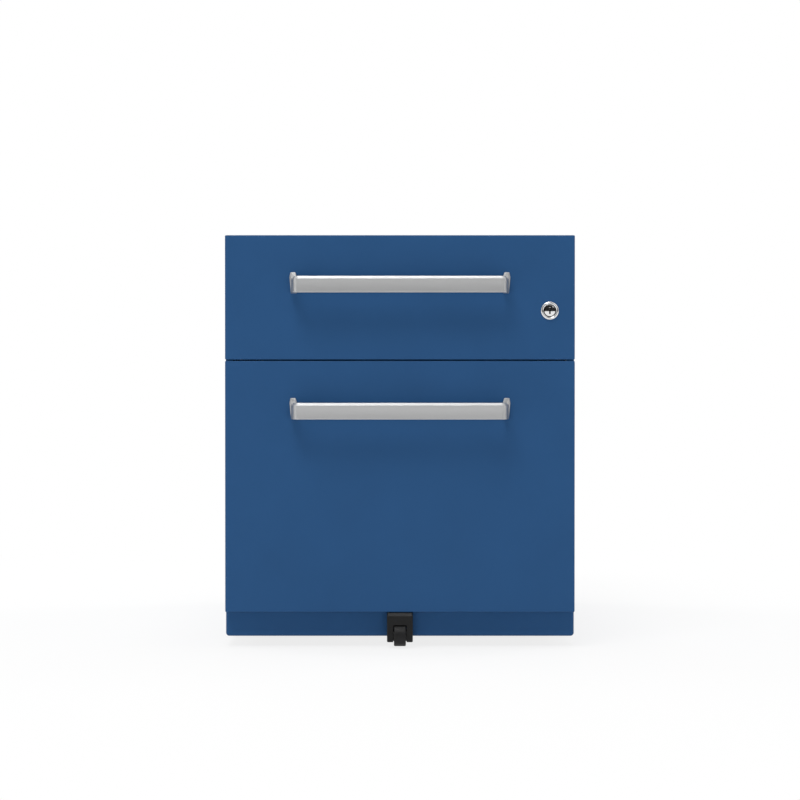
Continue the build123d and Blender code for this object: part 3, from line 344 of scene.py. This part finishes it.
# Handle screws
SCREW_RADIUS = 2.0
SCREW_HEAD_RADIUS = 4.0
SCREW_HEAD_HEIGHT = 2.6
SCREW_HEAD_POWER = 3.2
SCREW_PLAIN = 12.0             # from the seat to the thread
SCREW_RUNOUT = 0.4
SCREW_TIP = 0.2                # point past the thread
SCREW_TIP_STEP = 0.01
SCREW_THREAD_DEPTH = 0.4
SCREW_THREAD_PITCH = 0.7
SCREW_THREAD_ROWS = 130
SCREW_DOME_ROWS = 48
SCREW_DOME_LAST = 0.02         # radians between the last ring of the dome and its pole
CROSS_HALF_WIDTH = 0.5
CROSS_REACH = 2.3
CROSS_DEPTH = 1.4
CROSS_SLOPE = 0.25

# Handles
BAR_HALF_THICKNESS = 3.0
BAR_HALF_HEIGHT = 9.9
BAR_HOLLOW = 0.42
BAR_BEVEL_DEPTH = 2.6
BAR_BEVEL_HEIGHT = 3.2
BAR_SHOULDER = 3.0             # below the top of the bar, on its inner side
BAR_BEND = 4.5
LEG_SPLAY = 3.1
NECK_SHARE = 7.0 / 6.0         # thickness of the leg's neck over that of the bar
NECK_REACH = 12.0
RAMP_REACH = 4.05
FOOT_OUTER = 5.0
FOOT_THICKNESS = 2.4
FOOT_EDGE = 0.6
EAR_TOP = 15.3
FOOT_OUT = (3.2, 4.1, FOOT_OUTER, 3.8, -2.2, -3.7, -3.7)
FOOT_UP = (-BAR_HALF_HEIGHT, -0.4, 9.5, EAR_TOP, EAR_TOP, 10.3, -BAR_HALF_HEIGHT)
RAMP_TOP = 14.8
RAMP_OUT = (3.2, 3.0, 3.4, 3.1, -1.8, -3.3, -3.4)
RAMP_UP = (-BAR_HALF_HEIGHT, -1.6, 8.4, RAMP_TOP, RAMP_TOP, 8.9, -BAR_HALF_HEIGHT)
CORNER_CUTS = (0.9, 6.0, 0.8, 0.8, 0.9, 0.5, 0.9)
CORNER_POINTS = 8
EDGE_ROWS = 6
RAMP_ROWS = 7
NECK_ROWS = 7
LEG_ROWS = 4
BEND_ROWS = 20
BAR_ROWS = 5


def new_piece(name, points, faces, slot, body, node):
    """A piece from arrays of points in metres and faces, on one body, in place of a CAD node."""
    mesh = bpy.data.meshes.new(name)
    mesh.from_pydata(points, [], faces)
    mesh.shade_smooth()
    mesh.set_sharp_from_angle(angle=SHARP_ANGLE)
    mesh.materials.append(finishes[slot])
    piece = bpy.data.objects.new(name, mesh)
    bpy.context.scene.collection.objects.link(piece)
    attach(piece, body)
    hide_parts(node)
    return piece


def grid_faces(rows, columns, closed_rows):
    """Quads of a grid whose columns run right round, and whose rows close on themselves or stay open."""
    i, j = np.meshgrid(np.arange(rows if closed_rows else rows - 1), np.arange(columns), indexing="ij")
    down, across = (i + 1) % rows, (j + 1) % columns
    corners = (i * columns + j, i * columns + across, down * columns + across, down * columns + j)
    return np.stack(corners, axis=-1).reshape(-1, 4)


def capped_form(grid, first_pole, last_pole):
    """Points and faces of a grid of rings, closed at both ends by a fan of triangles to one point."""
    rows, columns = grid.shape[:2]
    points = np.concatenate([grid.reshape(-1, 3), [first_pole], [last_pole]])
    ring = np.arange(columns)
    after = np.roll(ring, -1)
    count = rows * columns
    last = count - columns
    first_fan = np.stack([after, ring, np.full(columns, count)], axis=-1)
    last_fan = np.stack([last + ring, last + after, np.full(columns, count + 1)], axis=-1)
    return points, grid_faces(rows, columns, False).tolist() + first_fan.tolist() + last_fan.tolist()


def joined(forms):
    """Several forms of points and faces as one."""
    points, faces, count = [], [], 0
    for form_points, form_faces in forms:
        points.append(form_points)
        faces += [[corner + count for corner in face] for face in form_faces]
        count += len(form_points)
    return np.concatenate(points), faces


def turned(radius, reach):
    """Points of a turned form about Y: at each angle t, X = radius cos t, Z = radius sin t and Y = -reach."""
    angle = np.linspace(0.0, 2 * np.pi, ROUND_COLUMNS, endpoint=False)
    radius, reach, angle = np.broadcast_arrays(radius, reach, angle)
    return np.stack([radius * np.cos(angle), -reach, radius * np.sin(angle)], axis=-1)


def threaded(radius, reach, depth, pitch):
    """Radius of a thread: a sine of reach / pitch + angle, from the full radius down by its depth."""
    angle = np.linspace(0.0, 2 * np.pi, ROUND_COLUMNS, endpoint=False)
    return radius - depth / 2 * (1.0 - np.sin(2 * np.pi * reach / pitch + angle))


def quarter(sweep, across, along, count):
    """Points of a quarter ellipse between the two angles of its sweep: across cos t, along sin t."""
    angle = np.radians(np.linspace(*sweep, count))
    return np.stack([across * np.cos(angle), along * np.sin(angle)], axis=-1)


def lock_ring():
    """Bezel with a rounded ring on a threaded barrel.

    The section in radius and reach out from the face is a closed loop: the thread and the seat on the face,
    two quarter ellipses that meet at the crest of the ring, and a deep groove round the core down to the bore.
    """
    low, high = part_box("lock_barrel")
    end = RING_HEIGHT - (high.y - low.y) / MM
    floor = end + RING_BORE_LENGTH
    thread = np.linspace(end + BARREL_LEAD, -BARREL_PLAIN, BARREL_THREAD_ROWS)[:, None]
    outer = np.array([RING_CREST, RING_SIDE]) + quarter(
        RING_OUTER_SWEEP, RING_OUTER - RING_CREST, RING_HEIGHT - RING_SIDE, RING_OUTER_ROWS)
    inner = np.array([RING_CREST, RING_GROOVE_EDGE]) + quarter(
        RING_INNER_SWEEP, RING_CREST - RING_GROOVE, RING_HEIGHT - RING_GROOVE_EDGE, RING_INNER_ROWS)
    section = np.concatenate([
        [(BARREL_RADIUS, 0.0), (RING_OUTER, 0.0)], outer, inner,
        [(RING_GROOVE, RING_GROOVE_EDGE - RING_GROOVE_STEP), (RING_GROOVE, floor + RING_FLOOR_SLOPE),
         (RING_BORE, floor), (RING_BORE, end), (BARREL_END_RADIUS, end)]])
    grid = np.concatenate([
        turned(threaded(BARREL_RADIUS, thread, BARREL_THREAD_DEPTH, BARREL_THREAD_PITCH), thread),
        turned(section[:, :1], section[:, 1:])])
    points = grid.reshape(-1, 3) * MM
    points += np.array([(low.x + high.x) / 2, low.y + RING_HEIGHT * MM, (low.z + high.z) / 2])
    faces = grid_faces(len(grid), ROUND_COLUMNS, True)
    return new_piece("lock_ring", points, faces, "lock_chrome", "upper_drawer", "lock_barrel")


def cross_bar(aside, along):
    """One inside one bar of the cross recess and none outside it, with a straight slope between."""
    narrow = np.clip((CROSS_HALF_WIDTH - aside) / CROSS_SLOPE, 0, 1)
    return narrow * np.clip((CROSS_REACH - along) / CROSS_SLOPE, 0, 1)


def pan_screw(length):
    """Pan-head screw with a cross recess, its head towards +Y and its seat at Y = 0.

    The head is the dome radius = R sin(t)^(2/p), height = H cos(t)^(2/p); the recess lowers it inside two
    crossed bars, with sloping walls. The shank carries a thread.
    """
    thread = np.linspace(length, SCREW_PLAIN, SCREW_THREAD_ROWS)[:, None]
    tip = turned(SCREW_RADIUS - SCREW_THREAD_DEPTH, np.array([[length + SCREW_TIP_STEP]]))
    shank = turned(
        np.full((2, 1), SCREW_RADIUS - SCREW_THREAD_DEPTH / 2), np.array([[SCREW_PLAIN - SCREW_RUNOUT], [0.0]]))
    fall = np.linspace(np.pi / 2, SCREW_DOME_LAST, SCREW_DOME_ROWS)[:, None]
    radius = SCREW_HEAD_RADIUS * np.sin(fall) ** (2 / SCREW_HEAD_POWER)
    height = SCREW_HEAD_HEIGHT * np.cos(fall) ** (2 / SCREW_HEAD_POWER)
    head = turned(radius, -height)
    x, z = np.abs(head[..., 0]), np.abs(head[..., 2])
    head[..., 1] -= CROSS_DEPTH * np.maximum(cross_bar(x, z), cross_bar(z, x))
    grid = np.concatenate([
        tip, turned(threaded(SCREW_RADIUS, thread, SCREW_THREAD_DEPTH, SCREW_THREAD_PITCH), thread), shank, head])
    points, faces = capped_form(
        grid[::-1], (0.0, SCREW_HEAD_HEIGHT - CROSS_DEPTH, 0.0), (0.0, -length - SCREW_TIP, 0.0))
    return points * MM, faces


def handle_screws(which):
    """The two screws of one handle, seated inside the tray."""
    low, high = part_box(f"{which}_handle_screws")
    seat = high.y - SCREW_HEAD_HEIGHT * MM
    half_pitch = high.x - SCREW_HEAD_RADIUS * MM
    points, faces = pan_screw((seat - low.y) / MM - SCREW_TIP)
    middle = (low.z + high.z) / 2
    points, faces = joined((points + np.array([x, seat, middle]), faces) for x in (-half_pitch, half_pitch))
    return new_piece(
        f"{which}_pan_screws", points, faces, "zinc_steel", f"{which}_drawer", f"{which}_handle_screws")


def softened(corners, cuts, count):
    """Points of closed loops of straight sides, with a quadratic curve at each corner.

    A curve starts one cut before its corner and ends one cut after it.
    """
    sides = np.roll(corners, -1, axis=-2) - corners
    sides /= np.linalg.norm(sides, axis=-1, keepdims=True)
    cuts = np.asarray(cuts)[:, None]
    before = (corners - cuts * np.roll(sides, 1, axis=-2))[..., None, :]
    after = (corners + cuts * sides)[..., None, :]
    share = np.linspace(0.0, 1.0, count)[:, None]
    curve = (1 - share) ** 2 * before + 2 * share * (1 - share) * corners[..., None, :] + share ** 2 * after
    return curve.reshape(*corners.shape[:-2], -1, 2)


def blend(first, last, shares):
    """Sets of corners from a first to a last, one for each share."""
    shares = shares[:, None, None]
    return (1 - shares) * first + shares * last


def handle_sections():
    """Corners of the sections of a foot, of a leg at the top and the toe of its ramp, and of the bar.

    Each has the same seven corners, as out from the middle line and up: lower outer, hollow of the face, foot
    of the bevel, head of the bevel, upper inner, shoulder, lower inner.
    """
    t, h = BAR_HALF_THICKNESS, BAR_HALF_HEIGHT
    face = h - BAR_BEVEL_HEIGHT
    bar = np.array([
        (t, -h), (t - BAR_HOLLOW, (face - h) / 2), (t, face), (t - BAR_BEVEL_DEPTH, h),
        (-t, h), (-t, h - BAR_SHOULDER), (-t, -h)])
    foot = np.stack([FOOT_OUT, FOOT_UP], axis=-1)
    ramp = np.stack([RAMP_OUT, RAMP_UP], axis=-1)
    return foot, ramp, bar * (NECK_SHARE, 1.0), bar


def bow_handle(which):
    """Cast handle as one swept surface: a hollow-faced bar, bent back at both ends into legs on eared feet.

    A section of seven softened corners runs along the middle line: square out from the foot, up the ramp behind
    the ear, along the splayed leg, round a bend of constant radius and along the bar; the other half is its
    mirror image.
    """
    low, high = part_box(f"{which}_handle")
    foot, ramp, neck, bar = handle_sections()
    leg_x = high.x / MM - FOOT_OUTER
    bar_reach = (high.y - low.y) / MM - BAR_HALF_THICKNESS
    lean = math.atan2(LEG_SPLAY, bar_reach)
    tangent = BAR_BEND * math.tan((math.pi / 2 - lean) / 2)

    edge = np.linspace(0.0, np.pi / 2, EDGE_ROWS)
    inset = FOOT_EDGE * (1 - np.cos(edge))[:, None, None]
    foot_middle = (foot.max(axis=0) + foot.min(axis=0)) / 2
    foot_half = (foot.max(axis=0) - foot.min(axis=0)) / 2
    ramp_shares = np.linspace(0.0, 1.0, RAMP_ROWS)
    neck_shares = np.linspace(0.0, 1.0, NECK_ROWS + 1)[1:]
    leg_end = bar_reach - tangent * math.cos(lean)
    leg_reach = np.concatenate([
        [0.0], FOOT_THICKNESS - FOOT_EDGE + FOOT_EDGE * np.sin(edge),
        FOOT_THICKNESS + (RAMP_REACH - FOOT_THICKNESS) * ramp_shares,
        RAMP_REACH + (NECK_REACH - RAMP_REACH) * neck_shares,
        np.linspace(NECK_REACH, leg_end, LEG_ROWS + 1)[1:]])
    leg_turn = lean * np.clip((leg_reach - RAMP_REACH) / (NECK_REACH - RAMP_REACH), 0.0, 1.0)
    leg_line = leg_reach * math.tan(lean) - leg_x

    bend_turn = np.linspace(lean, np.pi / 2, BEND_ROWS + 1)[1:]
    bend_line = leg_line[-1] + BAR_BEND * math.cos(lean) - BAR_BEND * np.cos(bend_turn)
    bend_reach = bar_reach - BAR_BEND + BAR_BEND * np.sin(bend_turn)
    bar_line = np.linspace(bend_line[-1], 0.0, BAR_ROWS + 1)[1:]

    line = np.concatenate([leg_line, bend_line, bar_line])[:, None]
    reach = np.concatenate([leg_reach, bend_reach, np.full(BAR_ROWS, bar_reach)])[:, None]
    turn = np.concatenate([leg_turn, bend_turn, np.full(BAR_ROWS, np.pi / 2)])[:, None]
    corners = np.concatenate([
        foot[None], foot_middle + (foot - foot_middle) * (1 - inset / foot_half),
        blend(ramp, neck, ramp_shares), blend(neck, bar, neck_shares),
        np.repeat(bar[None], LEG_ROWS + BEND_ROWS + BAR_ROWS, axis=0)])

    loops = softened(corners, CORNER_CUTS, CORNER_POINTS)
    out, up = loops[..., 0], loops[..., 1]
    half = np.stack([line - np.cos(turn) * out, -reach - np.sin(turn) * out, up], axis=-1)
    grid = np.concatenate([half * (-1.0, 1.0, 1.0), half[-2::-1]])
    pole = np.array([leg_x + foot_middle[0], 0.0, foot_middle[1]])
    points, faces = capped_form(grid, pole, pole * (-1.0, 1.0, 1.0))
    points = points * MM + np.array([0.0, high.y, high.z - EAR_TOP * MM])
    return new_piece(
        f"{which}_bow_handle", points, faces, "handle_silver", f"{which}_drawer", f"{which}_handle")


lock_ring()
for which in ("upper", "lower"):
    handle_screws(which)
    bow_handle(which)


# Studio, in metres

FLOOR_HALF = 9.0
FLOOR_COLOR = (0.90, 0.90, 0.90)
FLOOR_SHADOW_REACH = 0.40      # round the object, where the floor keeps its shadow
FLOOR_WHITE_REACH = 1.30       # where the floor has faded to white
FLOOR_WHITE_NEAR = 0.82
WORLD_FILL = 0.34
FRONT_AIM = (0.0, -0.26, 0.28)
FLAG_COLOR = (0.02, 0.02, 0.02)
FLAG_SIDE_X = 3.0
SIDE_LIGHT_X = 2.9


def stage_sheet(name, corners, material):
    """A flat four-cornered sheet of the studio."""
    mesh = bpy.data.meshes.new(name)
    mesh.from_pydata(corners, [], [(0, 1, 2, 3)])
    mesh.materials.append(material)
    sheet = bpy.data.objects.new(name, mesh)
    bpy.context.scene.collection.objects.link(sheet)
    return sheet


def seen_directly(tree):
    """One for camera, glossy and transmission rays, none for the rays that light the object."""
    path = tree.nodes.new("ShaderNodeLightPath")
    share = path.outputs["Is Camera Ray"]
    for kind in ("Is Glossy Ray", "Is Transmission Ray"):
        share = math_node(tree, "MAXIMUM", share, path.outputs[kind])
    return share


def floor_white():
    """Pale floor that keeps a light shadow near the object and fades to white further out."""
    material, tree, shader = new_finish("floor_white", FLOOR_COLOR, roughness=0.9)
    shader.inputs["Specular IOR Level"].default_value = 0.0
    places = tree.nodes.new("ShaderNodeTexCoord")
    reach = tree.nodes.new("ShaderNodeVectorMath")
    reach.operation = "LENGTH"
    tree.links.new(places.outputs["Object"], reach.inputs[0])
    far = spread(
        tree, reach.outputs["Value"], low=FLOOR_WHITE_NEAR, high=1.0,
        start=FLOOR_SHADOW_REACH, end=FLOOR_WHITE_REACH)
    far.node.interpolation_type = "SMOOTHSTEP"
    white = tree.nodes.new("ShaderNodeEmission")
    white.inputs["Color"].default_value = (1.0, 1.0, 1.0, 1.0)
    white.inputs["Strength"].default_value = 1.0
    mix = tree.nodes.new("ShaderNodeMixShader")
    tree.links.new(math_node(tree, "MULTIPLY", far, seen_directly(tree)), mix.inputs["Fac"])
    tree.links.new(shader.outputs["BSDF"], mix.inputs[1])
    tree.links.new(white.outputs["Emission"], mix.inputs[2])
    tree.links.new(mix.outputs["Shader"], tree.nodes["Material Output"].inputs["Surface"])
    return material


def studio_world(fill):
    """White surroundings for the camera and for reflections, and a softer fill light."""
    world = bpy.data.worlds.new("studio")
    world.use_nodes = True
    tree = world.node_tree
    background = tree.nodes["Background"]
    background.inputs["Color"].default_value = (1.0, 1.0, 1.0, 1.0)
    level = spread(tree, seen_directly(tree), low=fill, high=1.0, start=0.0, end=1.0)
    tree.links.new(level, background.inputs["Strength"])
    bpy.context.scene.world = world


def soft_box(name, place, aim, size, power, reflected=True):
    """Rectangular area lamp aimed at a point, seen in reflections or not."""
    lamp = bpy.data.lights.new(name, "AREA")
    lamp.shape = "RECTANGLE"
    lamp.size, lamp.size_y = size
    lamp.energy = power
    box = bpy.data.objects.new(name, lamp)
    box.location = place
    box.rotation_euler = (Vector(aim) - Vector(place)).to_track_quat("-Z", "Y").to_euler()
    box.visible_glossy = reflected
    bpy.context.scene.collection.objects.link(box)


def dark_flag(name, low, high):
    """A dark upright cloth between two opposite corners, which only reflections see."""
    corners = [low, (high[0], high[1], low[2]), high, (low[0], low[1], high[2])]
    cloth = stage_sheet(name, corners, flag_finish)
    cloth.visible_camera = False
    cloth.visible_diffuse = False
    cloth.visible_shadow = False


stage_sheet("floor", [
    (-FLOOR_HALF, -FLOOR_HALF, 0.0), (FLOOR_HALF, -FLOOR_HALF, 0.0),
    (FLOOR_HALF, FLOOR_HALF, 0.0), (-FLOOR_HALF, FLOOR_HALF, 0.0)], floor_white())
flag_finish = new_finish("dark_flag", FLAG_COLOR, roughness=1.0)[0]
dark_flag("flag_behind_camera", low=(-5.0, -5.0, 0.3), high=(10.0, -5.0, 2.2))
dark_flag("flag_above_camera", low=(-2.6, -5.0, 2.2), high=(1.8, -5.0, 4.7))
dark_flag("flag_overhead", low=(-0.7, -3.0, 2.7), high=(1.3, -3.0, 4.2))
for side in (-1, 1):
    dark_flag(f"flag_side_{side}", low=(side * FLAG_SIDE_X, -0.35, 0.05), high=(side * FLAG_SIDE_X, 1.6, 2.5))
studio_world(WORLD_FILL)
soft_box("key_light", place=(-0.55, -1.75, 2.75), aim=FRONT_AIM, size=(1.3, 1.0), power=34.0)
soft_box("front_fill", place=(0.0, -3.4, 0.34), aim=FRONT_AIM, size=(2.4, 0.6), power=33.0, reflected=False)
for side in (-1, 1):
    soft_box(
        f"side_light_{side}", place=(side * SIDE_LIGHT_X, 1.4, 1.0), aim=(0.0, 0.1, 0.25),
        size=(1.5, 1.4), power=44.0, reflected=False)
soft_box("back_light", place=(0.0, 3.3, 1.2), aim=(0.0, 0.3, 0.25), size=(1.8, 1.4), power=38.0)
soft_box("top_light", place=(0.0, -0.12, 3.2), aim=(0.0, -0.12, 0.5), size=(1.2, 0.8), power=20.0)


# Camera, in metres and in pixels of the picture

IMAGE_SIDE = 800.0
TOP_ROW = 235.2                # where the top of the fronts lies
METRES_PER_PIXEL = 0.0011974   # on the plane of the fronts
CAMERA_DISTANCE = 2.8
CAMERA_ASIDE = 0.0001
FRONT_TAPER = 0.0018           # share by which the fronts look narrower lower down
TAPER_HEIGHT = 0.4406          # height over which they do
SENSOR_WIDTH = 36.0

front_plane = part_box("lower_front")[0].y
pitch = math.asin(FRONT_TAPER * CAMERA_DISTANCE / TAPER_HEIGHT)
focal_pixels = CAMERA_DISTANCE / METRES_PER_PIXEL
picture_middle = cad_high[2] - (IMAGE_SIDE / 2 - TOP_ROW) * METRES_PER_PIXEL
lens = bpy.data.cameras.new("camera")
lens.sensor_width = SENSOR_WIDTH
lens.lens = focal_pixels / IMAGE_SIDE * SENSOR_WIDTH
camera = bpy.data.objects.new("camera", lens)
camera.location = (
    CAMERA_ASIDE, front_plane - CAMERA_DISTANCE, picture_middle + CAMERA_DISTANCE * math.tan(pitch))
camera.rotation_euler = Euler((math.pi / 2 - pitch, 0.0, 0.0))
bpy.context.scene.collection.objects.link(camera)
bpy.context.scene.camera = camera
bpy.context.scene.view_settings.view_transform = "Standard"
